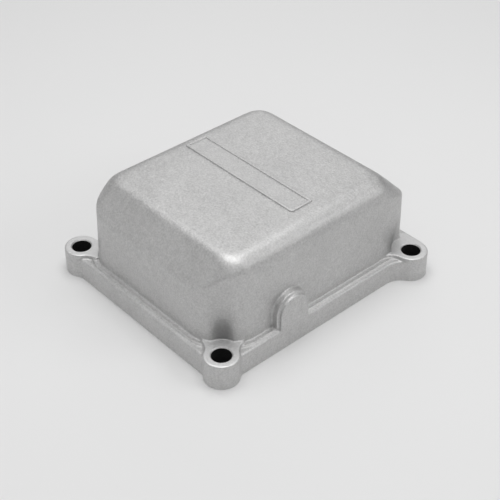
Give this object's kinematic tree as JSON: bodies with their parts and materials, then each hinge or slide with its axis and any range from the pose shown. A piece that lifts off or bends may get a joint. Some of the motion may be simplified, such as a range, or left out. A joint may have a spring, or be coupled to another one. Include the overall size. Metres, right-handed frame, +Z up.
{
  "type": "rocker cover",
  "caption": "Die-cast aluminium rocker cover with a domed rectangular box, a bolt ear at each corner, a plain raised panel on top and a rubber seal in its rim.",
  "frame": {"origin": "middle of the cover's outline, on the sealing face", "axes": "+Z up out of the sealing face, +X towards the wall with the blank pad, +Y along the longer side"},
  "size_m": [0.0954, 0.103, 0.042],
  "materials": {
    "cast_aluminium": "as cast and blasted, satin, with machined ear tops and sealing face",
    "seal_rubber": "moulded black rubber"
  },
  "bodies": {
    "root": {"cover_casting": "cast_aluminium", "rim_seal": "seal_rubber"}
  },
  "joints": []
}
